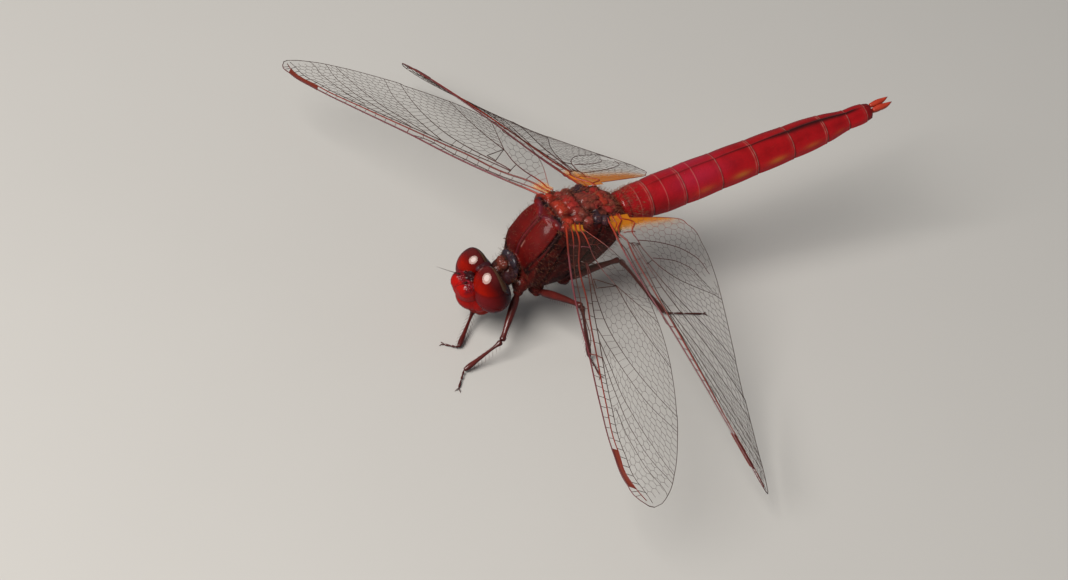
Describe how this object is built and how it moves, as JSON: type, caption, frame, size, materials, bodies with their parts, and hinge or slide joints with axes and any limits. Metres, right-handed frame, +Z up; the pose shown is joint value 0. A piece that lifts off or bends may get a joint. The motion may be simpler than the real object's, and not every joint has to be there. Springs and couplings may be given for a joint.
{
  "type": "dragonfly",
  "caption": "Life-size still model of a male scarlet skimmer dragonfly, standing on its feet with its wings spread and swept forward.",
  "frame": {"origin": "on the floor, under the middle of the whole model's box", "axes": "+Z up; the head points to -Y, the tail to +Y, and the animal's left side is +X"},
  "size_m": [0.06, 0.0458, 0.0152],
  "materials": {
    "thorax": "deep red-brown shell with fine golden-brown hairs and dark seams, satin",
    "head_shell": "dark purplish shell, satin to glossy",
    "eye": "deep red above and darker maroon below, very glossy, finely faceted",
    "face": "bright red, glossy, with a few dark hairs",
    "feeler": "near black",
    "abdomen": "scarlet shell with fine grain, pale joint rings and a dark line along the back",
    "appendage": "orange-red with dark tips",
    "wing_membrane": "clear thin membrane with a faint smoke tint and amber patches at the wing bases",
    "wing_vein": "black-brown veins, red-orange along the leading edge",
    "wing_spot": "brick-red spot bordered dark near each wing tip",
    "leg": "dark red-brown with black spines and claws",
    "hair": "fine golden-brown hairs"
  },
  "bodies": {
    "root": {"thorax": "thorax", "prothorax": "thorax", "neck": "head_shell", "head_capsule": "head_shell", "vertex": "head_shell", "eye_left": "eye", "eye_right": "eye", "frons": "face", "clypeus": "face", "mouthparts": "face", "antenna_left": "feeler", "antenna_right": "feeler", "abdomen_s1": "abdomen", "abdomen_s2": "abdomen", "abdomen_s3": "abdomen", "abdomen_s4": "abdomen", "abdomen_s5": "abdomen", "abdomen_s6": "abdomen", "abdomen_s7": "abdomen", "abdomen_s8": "abdomen", "abdomen_s9": "abdomen", "abdomen_s10": "abdomen", "cercus_left": "appendage", "cercus_right": "appendage", "epiproct": "appendage", "forewing_left": "wing_membrane", "forewing_right": "wing_membrane", "hindwing_left": "wing_membrane", "hindwing_right": "wing_membrane", "left_fore_femur": "leg", "left_fore_tibia": "leg", "left_fore_tarsus": "leg", "left_mid_femur": "leg", "left_mid_tibia": "leg", "left_mid_tarsus": "leg", "left_hind_femur": "leg", "left_hind_tibia": "leg", "left_hind_tarsus": "leg", "right_fore_femur": "leg", "right_fore_tibia": "leg", "right_fore_tarsus": "leg", "right_mid_femur": "leg", "right_mid_tibia": "leg", "right_mid_tarsus": "leg", "right_hind_femur": "leg", "right_hind_tibia": "leg", "right_hind_tarsus": "leg"}
  },
  "joints": []
}
